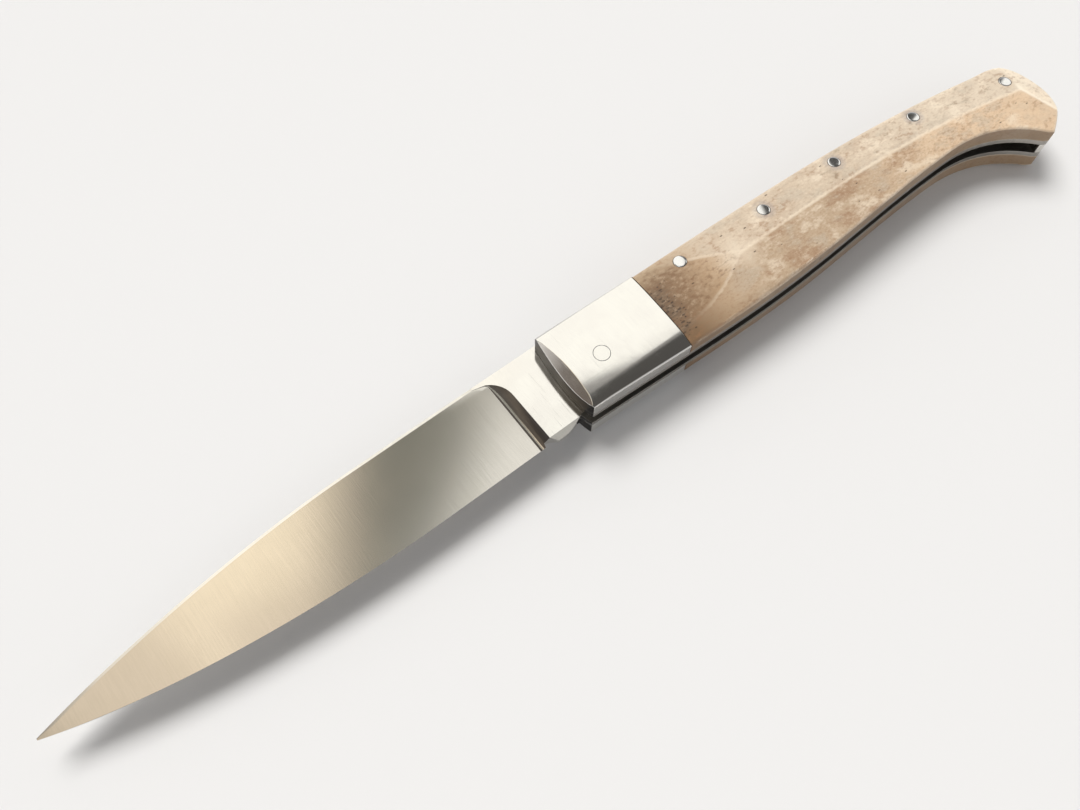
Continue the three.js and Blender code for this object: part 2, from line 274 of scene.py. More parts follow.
def fade(tree, value, low, high, lowResult=0, highResult=1):
    node = add(tree, "ShaderNodeMapRange", {0: value, 1: low, 2: high, 3: lowResult, 4: highResult})
    node.interpolation_type = "SMOOTHSTEP"
    return node.outputs[0]


# Object coordinates in millimetres from the pivot
def placeInMm(tree):
    where = add(tree, "ShaderNodeTexCoord").outputs["Object"]
    shift = [-value / mm for value in pivot]
    node = add(tree, "ShaderNodeMapping", {"Vector": where, "Location": shift, "Scale": [1 / mm] * 3})
    return node.outputs[0]


def stretched(tree, vector, scale, turn=0):
    inputs = {"Vector": vector, "Scale": scale, "Rotation": (0, 0, math.radians(turn))}
    return add(tree, "ShaderNodeMapping", inputs).outputs[0]


def noise(tree, vector, scale, detail=2, roughness=0.5):
    inputs = {"Vector": vector, "Scale": scale, "Detail": detail, "Roughness": roughness}
    return add(tree, "ShaderNodeTexNoise", inputs).outputs[0]


# A node group: an input without a value is a vector, and all others are numbers
def startGroup(name, inputs, outputs):
    group = bpy.data.node_groups.new(name, "ShaderNodeTree")
    for socketName, value in inputs.items():
        kind = "NodeSocketVector" if value is None else "NodeSocketFloat"
        socket = group.interface.new_socket(socketName, in_out="INPUT", socket_type=kind)
        if value is not None:
            socket.default_value = value
    for socketName in outputs:
        group.interface.new_socket(socketName, in_out="OUTPUT", socket_type="NodeSocketFloat")
    return group, group.nodes.new("NodeGroupInput").outputs, group.nodes.new("NodeGroupOutput").inputs


def useGroup(tree, group, **inputs):
    node = tree.nodes.new("ShaderNodeGroup")
    node.node_tree = group
    return feed(tree, node, inputs).outputs


# What the steels share: grinding lines, soft patches, stray scratches by turn and stretch, and lighter
# edges, partly wear and partly a painted highlight
finishLook = {
    "fineShare": 0.7, "coarseScale": 0.23, "lineFade": (0.35, 0.65), "patchFade": (0.36, 0.64),
    "scratches": ((24, (5, 0.12, 1)), (-38, (6, 0.15, 1)), (71, (4.5, 0.12, 1))),
    "scratchFade": (0.80, 0.84), "wornFade": (0.995, 0.9),
}


# Grinding lines: long fine streaks whose direction is the vector's own Y
def makeGrindLines():
    inputs = {"Vector": None, "Spacing": 0.2, "Length": 12}
    tree, given, made = startGroup("grindLines", inputs, ["Height", "Mask"])
    apart = maths(tree, "DIVIDE", 1, given["Spacing"])
    along = maths(tree, "DIVIDE", apart, given["Length"])
    scale = add(tree, "ShaderNodeCombineXYZ", {0: apart, 1: along, 2: along}).outputs[0]
    lines = add(tree, "ShaderNodeVectorMath", {0: given["Vector"], 1: scale}, operation="MULTIPLY")
    fine = noise(tree, lines.outputs[0], 1, 3, 0.7)
    coarse = noise(tree, lines.outputs[0], finishLook["coarseScale"])
    fineShare = finishLook["fineShare"]
    both = maths(tree, "ADD", times(tree, fine, fineShare), times(tree, coarse, 1 - fineShare))
    tree.links.new(both, made["Height"])
    tree.links.new(fade(tree, both, *finishLook["lineFade"]), made["Mask"])
    return tree


# Handling marks: broad soft patches and a few thin stray scratches
def makeHandling():
    inputs = {"Vector": None, "Size": 6}
    tree, given, made = startGroup("handling", inputs, ["Patches", "Scratches"])
    scale = maths(tree, "DIVIDE", 1, given["Size"])
    patches = noise(tree, given["Vector"], scale, 4, 0.6)
    tree.links.new(fade(tree, patches, *finishLook["patchFade"]), made["Patches"])
    marks = 0
    for turn, stretch in finishLook["scratches"]:
        line = noise(tree, stretched(tree, given["Vector"], stretch, turn), 1, 0, 0.4)
        marks = maths(tree, "MAXIMUM", marks, fade(tree, line, *finishLook["scratchFade"]))
    tree.links.new(marks, made["Scratches"])
    return tree


# Edge sheen and wear: how far the surface turns within a small radius. The lighter colour laid there is
# partly wear and partly a painted highlight.
def makeWornEdges():
    tree, given, made = startGroup("wornEdges", {"Radius": 0.2 * mm}, ["Mask"])
    rounded = add(tree, "ShaderNodeBevel", {"Radius": given["Radius"]}, samples=4).outputs[0]
    straight = add(tree, "ShaderNodeNewGeometry").outputs["Normal"]
    same = add(tree, "ShaderNodeVectorMath", {0: rounded, 1: straight}, operation="DOT_PRODUCT")
    tree.links.new(fade(tree, same.outputs["Value"], *finishLook["wornFade"]), made["Mask"])
    return tree


grindLines = makeGrindLines()
handling = makeHandling()
wornEdges = makeWornEdges()


def startMaterial(name, metallic, settings=None):
    material = bpy.data.materials.new(name)
    material.use_nodes = True
    tree = material.node_tree
    shader = tree.nodes["Principled BSDF"]
    shader.inputs["Metallic"].default_value = metallic
    for socket, value in (settings or {}).items():
        shader.inputs[socket].default_value = value
    return material, tree, shader.inputs


def bump(tree, height, distance):
    inputs = {"Height": height, "Distance": distance * mm, "Strength": 1}
    return add(tree, "ShaderNodeBump", inputs).outputs[0]


def makeSteel(name, look):
    material, tree, shader = startMaterial(name, 1)
    where = placeInMm(tree)
    turned = stretched(tree, where, (1, 1, 1), look["grainTurn"])
    lines = useGroup(
        tree, grindLines, Vector=turned, Spacing=look["grainSpacing"], Length=look["grainLength"])
    marks = useGroup(tree, handling, Vector=where, Size=look["patchSize"])
    edges = useGroup(tree, wornEdges, Radius=look["wornRadius"] * mm)
    metal, patches, grain, worn = look["colors"]
    color = mixColors(tree, marks["Patches"], metal, patches)
    color = mixColors(tree, times(tree, lines["Mask"], look["grainTint"]), color, grain)
    # Lighter edges: partly wear, partly a painted highlight
    color = mixColors(tree, times(tree, edges["Mask"], look["wornTint"]), color, worn)
    tree.links.new(color, shader["Base Color"])
    low, high = look["roughness"]
    patchShare = look["patchShare"]
    rough = maths(tree, "ADD", low, times(tree, marks["Patches"], (high - low) * patchShare))
    rough = maths(tree, "ADD", rough, times(tree, lines["Mask"], (high - low) * (1 - patchShare)))
    rougher = look["scratchShare"] * look["scratch"]
    rough = maths(tree, "ADD", rough, times(tree, marks["Scratches"], rougher))
    tree.links.new(rough, shader["Roughness"])
    height = maths(tree, "SUBTRACT", lines["Height"], times(tree, marks["Scratches"], look["scratch"]))
    tree.links.new(bump(tree, height, look["grainDepth"]), shader["Normal"])
    return material


# Steels: what they share unless their own entry says otherwise, then each one, with the colors of its
# metal, patches, grinding lines and edges, whose lighter edge colour is partly wear, partly painted
# highlight.
# The plunge's steel is rougher, its dark colour painted shade; the walls behind the ricasso get a
# near-black painted shade.
plainSteel = {
    "grainTurn": 0, "grainSpacing": 0.2, "grainLength": 10, "grainTint": 0.5, "grainDepth": 0.003,
    "patchSize": 5, "wornRadius": 0.05, "scratch": 0.1,
    "wornTint": 0.6, "patchShare": 0.6, "scratchShare": 0.2,
}
steelLooks = {
    "groundSteel": {
        "colors": ((0.76, 0.715, 0.645), (0.74, 0.695, 0.62), (0.66, 0.62, 0.555), (0.86, 0.84, 0.80)),
        "roughness": (0.115, 0.14), "grainSpacing": 0.24, "grainLength": 30, "grainTint": 0.28,
        "grainDepth": 0.0028, "patchSize": 14, "wornRadius": 0.12, "scratch": 0.04,
    },
    "mirrorSteel": {
        "colors": ((0.84, 0.825, 0.78), (0.82, 0.80, 0.76), (0.76, 0.74, 0.70), (0.88, 0.87, 0.84)),
        "roughness": (0.08, 0.12), "grainSpacing": 0.12, "grainLength": 20, "grainTint": 0.2,
        "grainDepth": 0.0015, "wornRadius": 0.15, "scratch": 0.5,
    },
    "dullSteel": {
        "colors": ((0.165, 0.148, 0.134), (0.145, 0.128, 0.114), (0.10, 0.09, 0.08), (0.35, 0.33, 0.30)),
        "roughness": (0.28, 0.34),
    },
    "wallSteel": {
        "colors": ((0.045, 0.04, 0.036), (0.035, 0.03, 0.026), (0.03, 0.026, 0.022), (0.30, 0.28, 0.26)),
        "roughness": (0.3, 0.38), "wornRadius": 0.08,
    },
    "linerSteel": {
        "colors": ((0.42, 0.40, 0.37), (0.34, 0.32, 0.29), (0.25, 0.24, 0.22), (0.72, 0.71, 0.68)),
        "roughness": (0.30, 0.44), "grainTurn": 90, "grainSpacing": 0.1, "grainLength": 30,
        "grainDepth": 0.004, "patchSize": 7, "wornRadius": 0.12, "scratch": 0.4,
    },
    "springSteel": {
        "colors": ((0.72, 0.70, 0.66), (0.64, 0.62, 0.58), (0.52, 0.50, 0.47), (0.86, 0.85, 0.82)),
        "roughness": (0.16, 0.26), "grainTurn": 90, "grainSpacing": 0.1, "grainLength": 30,
        "grainTint": 0.35, "grainDepth": 0.002, "patchSize": 6, "wornRadius": 0.12, "scratch": 0.4,
    },
    "pinSteel": {
        "colors": ((0.84, 0.835, 0.82), (0.80, 0.80, 0.79), (0.72, 0.72, 0.71), (0.88, 0.88, 0.86)),
        "roughness": (0.08, 0.12), "grainTurn": 30, "grainSpacing": 0.1, "grainLength": 12,
        "grainTint": 0.2, "grainDepth": 0.0005, "patchSize": 4, "scratch": 0.2,
    },
}
steels = {name: makeSteel(name, {**plainSteel, **look}) for name, look in steelLooks.items()}
print("steels made")

# Shape of the handle's outer faces, as in the CAD source but for the tail's facet, which starts later
handleShape = {
    "crownLevel": 5.5, "crownOffset": 1.3, "crownHalfWidth": 6, "crownRadius": 90,
    "shoulderRadius": 11, "shoulderWidth": 5.4, "domeSlope": 0.026, "boltRear": 14, "jointGap": 0.12,
    "endSlant": 0.045, "ridgeLevel": 6.0, "landLevel": 5.9, "ridgeOffset": 0.6, "ridgeSag": 5.2,
    "apexReach": 33, "ridgeReach": 104.3, "tailFacetReach": 106.4, "tailFacetSlope": 0.3,
    "spineSlope": 0.065, "bellySlope": 0.092, "softening": 0.09,
    "domeSoft": 0.6, "tailSoft": 2.5, "landSoft": 0.5,
}
pinPlaces = [(23.3, 5.9), (43.5, 5.0), (62.4, 4.95), (83.4, 3.4), (105.5, -1.7)]


# Lower of two levels, with the line where they meet rounded off
def softLower(a, b, soft):
    share = clamp(0.5 + 0.5 * (b - a) / soft, 0, 1)
    return b + (a - b) * share - soft * share * (1 - share)


def crownAt(y):
    shape = handleShape
    away = abs(y - shape["crownOffset"])
    inner = min(away, shape["crownHalfWidth"])
    over = clamp(away - shape["crownHalfWidth"], 0, shape["shoulderWidth"])
    slope = shape["crownHalfWidth"] / shape["crownRadius"] + over / (2 * shape["shoulderRadius"])
    return shape["crownLevel"] - inner ** 2 / (2 * shape["crownRadius"]) - over * slope


def ridgeAt(x):
    shape = handleShape
    along = max(0, x - shape["apexReach"]) / (shape["ridgeReach"] - shape["apexReach"])
    return shape["ridgeOffset"] - shape["ridgeSag"] * along ** 3


def boneLevel(x, y):
    shape = handleShape
    soft = shape["softening"]
    side = y - ridgeAt(x)
    spine = shape["ridgeLevel"] - shape["spineSlope"] * side
    belly = shape["ridgeLevel"] + shape["bellySlope"] * side
    dome = crownAt(y) + shape["domeSlope"] * (x - shape["boltRear"])
    tail = shape["ridgeLevel"] - shape["tailFacetSlope"] * (x - shape["tailFacetReach"])
    level = softLower(softLower(spine, belly, soft), dome, soft * shape["domeSoft"])
    level = softLower(level, tail, soft * shape["tailSoft"])
    return softLower(level, shape["landLevel"], soft * shape["landSoft"])


leastRise = 0.6


def facesUp(face):
    return face.normal.z > leastRise


# Whether one of an edge's faces looks up, or down if side is -1
def meets(edge, side=1):
    return any(face.normal.z * side > leastRise for face in edge.link_faces)


def steep(edge, least=40):
    return turnAt(edge) > least


def nearPin(point, margin=1.6):
    return any((point.xy - Vector(pin)).length < margin for pin in pinPlaces)


# The tail's upper corner, drawn out a little in every layer of the handle: between two headings from
# a middle, not at all up to the distance still, and wholly from the distance full
tailLook = {"middle": (104.5, -5.2), "from": 5, "to": 118, "still": 4, "full": 8, "bulge": 0.55}


def bulgeTail(piece):
    look = tailLook
    for v in piece.data.vertices:
        spot = local(v.co)
        out = spot.xy - Vector(look["middle"])
        turn = shareOf(math.degrees(math.atan2(out.y, out.x)), look["from"], look["to"])
        far = shareOf(out.length, look["still"], look["full"])
        if turn > 0 and far > 0:
            spot.xy += out.normalized() * look["bulge"] * far * math.sin(math.pi * turn) ** 2
            v.co = place(*spot)


# Bone scales
scaleLook = {
    "spineRound": 0.75, "bellyRound": 0.4, "blendWidth": 6, "jointRound": 0.07, "footRound": 0.08,
    "along": (13, 113, 1.2), "across": (-17, 10, 0.45), "jointWidth": 0.06, "roundSteps": 4,
    "mergeAngle": 28, "tailCorner": (107.2, -11), "shortEdge": 0.6, "tailCuts": 4,
}


def scaleRounding(edge):
    if not steep(edge):
        return 0
    point = middleOf(edge)
    if nearPin(point):
        return 0
    front = handleShape["boltRear"] + handleShape["jointGap"] + handleShape["endSlant"] * point.y
    if point.x < front + scaleLook["jointWidth"]:
        return scaleLook["jointRound"]
    if meets(edge):
        toSpine = clamp((point.y - ridgeAt(point.x)) / scaleLook["blendWidth"], 0, 1)
        return scaleLook["bellyRound"] + (scaleLook["spineRound"] - scaleLook["bellyRound"]) * toSpine
    return scaleLook["footRound"] if meets(edge, -1) else 0


# The outline where the tail's facet starts: the CAD's short steps go, and finer ones take their place
def tailEdge(edge):
    point = middleOf(edge)
    leastX, mostY = scaleLook["tailCorner"]
    return steep(edge) and meets(edge) and point.x > leastX and point.y < mostY


def makeScale():
    piece = copyOf("scale_upper", "boneScaleUpper")
    markTop(piece, facesUp, scaleLook["mergeAngle"])
    mode("EDIT")
    shortest = scaleLook["shortEdge"] * mm
    select(piece, "EDGE", lambda edge: tailEdge(edge) and edge.calc_length() < shortest)
    bpy.ops.mesh.merge(type="COLLAPSE")
    select(piece, "EDGE", tailEdge)
    bpy.ops.mesh.subdivide(number_cuts=scaleLook["tailCuts"])
    mode("OBJECT")
    liftTo(piece, isTop, boneLevel)
    roundEdges(piece, scaleRounding, scaleLook["roundSteps"])
    band(piece, isTop, 1, *scaleLook["across"])
    band(piece, isTop, 0, *scaleLook["along"])
    liftTo(piece, isTop, boneLevel)
    clearMarks(piece)
    bulgeTail(piece)
    return piece


boneUpper = makeScale()
boneLower = otherSide(boneUpper, "boneScaleLower")
for piece in (boneUpper, boneLower):
    finishNormals(piece)
print("scales shaped:", len(boneUpper.data.polygons), "faces each")

# Bolsters
bolsterLook = {
    "holeRound": 0.03, "edgeRound": 0.22, "jointRound": 0.07, "rampRound": 0.06, "wallRound": 0.12,
    "across": (-9.5, 11, 0.3), "holeReach": 1.7, "holeLevel": 4, "holeTurn": 60, "rampTurns": (12, 40),
    "jointWidth": 0.5, "wallReach": 5, "wallSlope": 0.85, "topSlope": 0.1, "mergeAngle": 14,
    "smoothAngle": 20,
}


def bolsterRounding(edge):
    look = bolsterLook
    point = middleOf(edge)
    if point.xy.length < look["holeReach"]:
        return look["holeRound"] if steep(edge, look["holeTurn"]) and point.z > look["holeLevel"] else 0
    least, most = look["rampTurns"]
    if least < turnAt(edge) < most:
        return look["rampRound"]
    if not steep(edge):
        return 0
    if point.x > handleShape["boltRear"] - look["jointWidth"]:
        return look["jointRound"]
    if meets(edge):
        return look["edgeRound" if point.x > -look["wallReach"] else "wallRound"]
    return look["rampRound"]


# A piece's first finish, with a near-black steel on its walls behind the ricasso as painted shade
def finishWalls(piece, finish):
    for material in (finish, "wallSteel"):
        piece.data.materials.append(steels[material])
    look = bolsterLook
    for face in piece.data.polygons:
        isWall = face.normal.x < -look["wallSlope"] and local(face.center).x < -look["wallReach"]
        face.material_index = 1 if isWall else 0


def makeBolster():
    look = bolsterLook
    piece = copyOf("bolster_upper", "bolsterUpper")
    markTop(piece, lambda face: facesUp(face) and abs(face.normal.x) < look["topSlope"], look["mergeAngle"])
    roundEdges(piece, bolsterRounding)
    band(piece, isTop, 1, *look["across"])
    liftTo(piece, isTop, lambda x, y: crownAt(y))
    clearMarks(piece)
    finishWalls(piece, "mirrorSteel")
    return piece


bolsterUpper = makeBolster()
bolsterLower = otherSide(bolsterUpper, "bolsterLower")
for piece in (bolsterUpper, bolsterLower):
    finishNormals(piece, bolsterLook["smoothAngle"])
print("bolsters shaped:", len(bolsterUpper.data.polygons), "faces each")

# Liners and backspring
layerLook = {"linerRound": 0.06, "springRound": 0.14, "leastTurn": 50, "roundSteps": 2}


def roundOutline(piece, width):
    def widthAt(edge):
        isOutline = steep(edge, layerLook["leastTurn"]) and not nearPin(middleOf(edge))
        return width if isOutline else 0

    roundEdges(piece, widthAt, layerLook["roundSteps"])


linerUpper = copyOf("liner_upper", "linerUpper")
roundOutline(linerUpper, layerLook["linerRound"])
clearMarks(linerUpper)
bulgeTail(linerUpper)
finishWalls(linerUpper, "linerSteel")
linerLower = otherSide(linerUpper, "linerLower")
spring = copyOf("backspring", "springBar")
roundOutline(spring, layerLook["springRound"])
bulgeTail(spring)
for piece in (linerUpper, linerLower, spring):
    finishNormals(piece)
print("liners and spring shaped")

# Blade: a ground part laid out as a sheet of sections, and the ricasso and tang from the CAD node.
# A bend is where the outline leaves its level line, and the length of its handle there.
bladeShape = {
    "reach": 103.9, "tipHeight": 2.72, "tipWidth": 0.3, "spineHeight": 10.2, "edgeDepth": 6.25,
    "spineBend": (46, 18), "edgeBend": (38, 20), "spineTipHandle": (18.7, 4.85),
    "edgeTipHandle": (19.7, -6.75), "heelReach": 17, "plungeReach": 15.6, "plungeRun": 2.5, "leastRun": 0.3,
    "curlRadius": 5, "plungeFade": 14.5, "spineFlat": 0.45, "flatShare": 0.25, "steepest": 0.075,
    "edgeThickness": 0.24, "tipThickness": 0.9, "halfThickness": 1.07, "ricassoDepth": 5.5,
    "kickDepth": 6.62, "kickThinning": 0.38, "tangReach": 7.5, "sections": 60, "plungeSections": 14,
    "rows": 20, "rowSpacing": 0.7, "lightBand": (2, 4), "smoothAngle": 25,
}
# The plunge's finish is a rougher steel whose dark colour is painted shade
groundFinish, mirrorFinish, dullFinish = 0, 1, 2


def bezierHeight(points, x, steps=30):
    low, high = 0, 1
    for _ in range(steps):
        t = (low + high) / 2
        weights = ((1 - t) ** 3, 3 * t * (1 - t) ** 2, 3 * t * t * (1 - t), t ** 3)
        if sum(w * p[0] for w, p in zip(weights, points)) < x:
            low = t
        else:
            high = t
    return sum(w * p[1] for w, p in zip(weights, points))


# One side of the blade's outline: level up to its bend, then a curve to the tip
def outlineAt(x, level, bendAndHandle, tipLevel, tipHandle):
    bend, handle = bendAndHandle
    if x >= -bend:
        return level
    tip = -bladeShape["reach"]
    first = (tip + tipHandle[0], bladeShape["tipHeight"] + tipHandle[1])
    return bezierHeight([(tip, tipLevel), first, (-bend - handle, level), (-bend, level)], x)


def spineAt(x):
    shape = bladeShape
    tipLevel = shape["tipHeight"] + shape["tipWidth"]
    return outlineAt(x, shape["spineHeight"], shape["spineBend"], tipLevel, shape["spineTipHandle"])


def edgeAt(x):
    shape = bladeShape
    level = -shape["ricassoDepth"] if x > -shape["heelReach"] else -shape["edgeDepth"]
    return outlineAt(x, level, shape["edgeBend"], shape["tipHeight"], shape["edgeTipHandle"])


# How far the ricasso's border has curled toward the tip at a height
def curlAt(y, grindTop):
    radius = bladeShape["curlRadius"]
    over = clamp(y - grindTop + radius, 0, radius)
    return radius - math.sqrt(radius ** 2 - over ** 2)


# A point of the upper face. A column has its section x, its rise through the plunge and its share
# of the plunge foot's shift; share is the height in the section, and over 1 it is the spine.
def bladePoint(column, share):
    shape = bladeShape
    x, rise, shift = column
    taper = shareOf(-x, shape["heelReach"], shape["reach"])
    halfSpine = shape["halfThickness"] + (shape["tipThickness"] / 2 - shape["halfThickness"]) * taper
    edge, spine = edgeAt(x), spineAt(x)
    halfSpine = min(halfSpine, shape["edgeThickness"] / 2 + shape["steepest"] * (spine - edge))
    grindTop = spine - min(shape["spineFlat"], (spine - edge) * shape["flatShare"])
    y = spine if share > 1 else edge + (grindTop - edge) * share
    curl = curlAt(min(y, grindTop), grindTop)
    run = max(shape["plungeRun"] - curl, shape["leastRun"])
    footShift = shape["plungeRun"] - curl - run
    x += footShift * shift + rise * (run - shape["plungeRun"])
    share = min(share, 1)
    ground = shape["edgeThickness"] / 2 + (halfSpine - shape["edgeThickness"] / 2) * share
    return x, y, ground + (halfSpine - ground) * rise ** 2


def bladeColumns():
    shape = bladeShape
    foot = -shape["plungeReach"] - shape["plungeRun"]
    columns = []
    for i in range(shape["sections"]):
        x = -shape["reach"] + (foot + shape["reach"]) * i / shape["sections"]
        near = clamp((x - foot + shape["plungeFade"]) / shape["plungeFade"], 0, 1)
        columns.append((x, 0, near * near * (3 - 2 * near)))
    for i in range(shape["plungeSections"] + 1):
        rise = i / shape["plungeSections"]
        columns.append((foot + shape["plungeRun"] * rise, rise, 1))
    columns.append(None)
    return columns


def makeGroundPart():
    shape = bladeShape
    columns = bladeColumns()
    rows = shape["rows"] + 1
    across = len(columns) - 1
    bpy.ops.object.select_all(action="DESELECT")
    bpy.ops.mesh.primitive_grid_add(x_subdivisions=across, y_subdivisions=rows, size=1, location=(0, 0, 0))
    piece = bpy.context.object
    piece.name = "bladeBody"
    mode("EDIT")
    selectAll()
    bpy.ops.mesh.extrude_region_move(TRANSFORM_OT_translate={"value": (0, 0, 1)})
    mode("OBJECT")
    mesh = bmesh.new()
    mesh.from_mesh(piece.data)
    spot = {}
    for v in mesh.verts:
        spot[v] = (round((v.co.x + 0.5) * across), round((v.co.y + 0.5) * rows), v.co.z > 0.5)
    foot, top = shape["sections"], shape["sections"] + shape["plungeSections"]
    for v, (i, j, above) in spot.items():
        share = 2 if j == rows else (j / (rows - 1)) ** shape["rowSpacing"]
        if i <= top:
            x, y, z = bladePoint(columns[i], share)
        else:
            x, y, z = -shape["plungeReach"], bladePoint(columns[top], share)[1], shape["halfThickness"]
        v.co = place(x, y, z if above else -z)
    for face in mesh.faces:
        i = min(spot[v][0] for v in face.verts)
        j = min(spot[v][1] for v in face.verts)
        flat = len({spot[v][2] for v in face.verts}) == 1
        if not flat or j == rows - 1 or i >= top:
            face.material_index = mirrorFinish
        else:
            # In the plunge the dark steel is painted shade, and a band of ground steel across it is a
            # painted highlight line
            lightFrom, lightTo = (foot + step for step in shape["lightBand"])
            isDull = i >= foot and not lightFrom <= i < lightTo
            face.material_index = dullFinish if isDull else groundFinish
    for edge in mesh.edges:
        (i, j, above), (k, l, also) = (spot[v] for v in edge.verts)
        edge.smooth = not (above != also or j == l in (0, rows - 1, rows) or i == k in (0, top, top + 1))
    bmesh.ops.recalc_face_normals(mesh, faces=mesh.faces)
    mesh.to_mesh(piece.data)
    mesh.free()
    return piece


def makeTang():
    shape = bladeShape
    piece = copyOf("blade", "bladeTang")
    mode("EDIT")
    selectAll()
    bpy.ops.mesh.bisect(
        plane_co=place(-shape["plungeReach"], 0, 0), plane_no=(1, 0, 0), clear_inner=True, use_fill=True)
    selectAll()
    bpy.ops.mesh.bisect(plane_co=place(0, -shape["ricassoDepth"], 0), plane_no=(0, 1, 0))
    mode("OBJECT")
    for v in piece.data.vertices:
        x, y, z = local(v.co)
        below = shareOf(-y, shape["ricassoDepth"], shape["kickDepth"])
        if x < -shape["tangReach"]:
            v.co.z = pivot.z + z * (1 + (shape["kickThinning"] - 1) * below) * mm
    return piece


def makeBlade():
    groundPart = makeGroundPart()
    tang = makeTang()
    for piece in (groundPart, tang):
        for finish in ("groundSteel", "mirrorSteel", "dullSteel"):
            piece.data.materials.append(steels[finish])
    for face in tang.data.polygons:
        face.material_index = mirrorFinish
    smooth(tang, bladeShape["smoothAngle"])
    only(groundPart)
    bpy.ops.object.shade_smooth(keep_sharp_edges=True)
    tang.select_set(True)
    bpy.ops.object.join()
    return groundPart


blade = makeBlade()
print("blade shaped:", len(blade.data.polygons), "faces")

# Pins: one domed pin is modelled, and each copy takes its place and its two levels
pinLook = {
    "radius": 1.25, "rise": 0.03, "dome": 0.035, "rimRound": 0.06, "rings": 4, "sides": 48,
    "rimSteps": 3, "endRise": 0.9, "endLevel": 0.999, "foot": 1.3, "smoothAngle": 40,
    "pivotRound": 0.03, "pivotTurn": 50, "pivotSteps": 2,
}
shortPins = dict(zip(("scale_rivet_{}_1", "scale_rivet_{}_2"), pinPlaces[:2]))
throughPins = dict(zip(("spring_pin_middle", "spring_pin_rear", "spring_pin_tail"), pinPlaces[2:]))


def makePinBlank():
    look = pinLook
    bpy.ops.object.select_all(action="DESELECT")
    bpy.ops.mesh.primitive_cylinder_add(vertices=look["sides"], radius=look["radius"] * mm, depth=2 * mm)
    piece = bpy.context.object
    mode("EDIT")
    for end in (1, -1):
        isEnd = lambda face: face.normal.z * end > look["endRise"]
        select(piece, "FACE", isEnd)
        bpy.ops.mesh.bevel(offset=look["rimRound"] * mm, segments=look["rimSteps"], affect="EDGES")
        select(piece, "FACE", lambda face: isEnd(face) and len(face.verts) == look["sides"])
        for _ in range(look["rings"]):
            bpy.ops.mesh.inset(thickness=look["radius"] / (look["rings"] + 1) * mm)
    mode("OBJECT")
    for v in piece.data.vertices:
        if abs(v.co.z) > look["endLevel"] * mm:
            away = v.co.xy.length / mm / look["radius"]
            v.co.z += math.copysign(look["dome"] * (1 - away ** 2) * mm, v.co.z)
    return piece


def placePin(blank, pieceName, spot, low, high):
    piece = newObject(pieceName, blank.data.copy())
    for v in piece.data.vertices:
        level = high - 1 if v.co.z > 0 else low + 1
        v.co = place(spot[0], spot[1], level) + v.co
    smooth(piece, pinLook["smoothAngle"])
    return piece


pinBlank = makePinBlank()
pins = {}
for nodeName, spot in throughPins.items():
    level = boneLevel(*spot) + pinLook["rise"]
    pins[nodeName] = placePin(pinBlank, nodeName.replace("_pin_", "Pin_"), spot, -level, level)
for pattern, spot in shortPins.items():
    level = boneLevel(*spot) + pinLook["rise"]
    foot = pinLook["foot"]
    pins[pattern.format("upper")] = placePin(pinBlank, "headUpper_" + pattern[-1], spot, foot, level)
    pins[pattern.format("lower")] = placePin(pinBlank, "headLower_" + pattern[-1], spot, -level, -foot)
bpy.data.objects.remove(pinBlank)


def pivotRounding(edge):
    return pinLook["pivotRound"] if steep(edge, pinLook["pivotTurn"]) else 0


pivotPin = copyOf("pivot_pin", "pivotPin")
roundEdges(pivotPin, pivotRounding, pinLook["pivotSteps"])
finishNormals(pivotPin)
print("pins shaped")

# Bone
boneColors = {
    "front": (0.215, 0.135, 0.075), "frontMiddle": (0.50, 0.345, 0.21), "frontSpine": (0.46, 0.345, 0.225),
    "spine": (0.60, 0.49, 0.37), "spineTail": (0.67, 0.565, 0.44), "belly": (0.48, 0.355, 0.24),
    # The tail's pale color is partly a painted highlight
    "bellyTail": (0.70, 0.52, 0.35), "tail": (0.88, 0.77, 0.61), "brown": (0.31, 0.17, 0.09),
    "gray": (0.50, 0.43, 0.34), "pale": (0.84, 0.73, 0.58), "pore": (0.07, 0.045, 0.03),
    # The wall color is painted shade on the scales' side walls
    "spot": (0.22, 0.16, 0.10), "wall": (0.22, 0.135, 0.072), "seam": (0.10, 0.075, 0.055),
    # The pale rim color is a painted highlight
    "stain": (0.26, 0.245, 0.27), "rim": (0.93, 0.85, 0.71), "blotch": (0.13, 0.065, 0.03),
}
boneLook = {
    "refraction": 1.52, "apexShift": 0.5, "wander": 8, "frontWander": 0.5, "jointWander": 0.4,
    "brownMiddle": 54, "stainMiddle": 63, "jointMiddle": -1, "lineDrift": 0.7, "wornRadius": 0.7,
    "roughness": 0.26, "mottleRoughness": 0.18, "pitRoughness": 0.15, "fibreHeight": 0.12,
    "mottleHeight": 0.15, "pitDepth": 0.2, "relief": 0.05,
}

# Borders of the front: where each starts at the apex, and how it falls away and bends
frontBorders = {"spine": (0.7, 0.56, 0.0062), "belly": (0.8, 0.605, 0.0159)}

# Patterns: stretch for each millimetre, turn, detail and roughness
bonePatterns = {
    "drift": ((0.05, 0.12, 0.12), 0, 3, 0.6), "cloud": ((0.11, 0.2, 0.2), 0, 3, 0.55),
    "haze": ((0.16, 0.26, 0.26), 20, 4, 0.6), "mottle": ((0.8, 1.3, 1.3), 0, 4, 0.6),
    "grain": ((1.6, 2.6, 2.6), 12, 4, 0.65), "fibre": ((0.6, 4, 4), 0, 3, 0.6),
    "patches": ((0.26, 0.52, 0.52), 0, 1, 0.5),
}

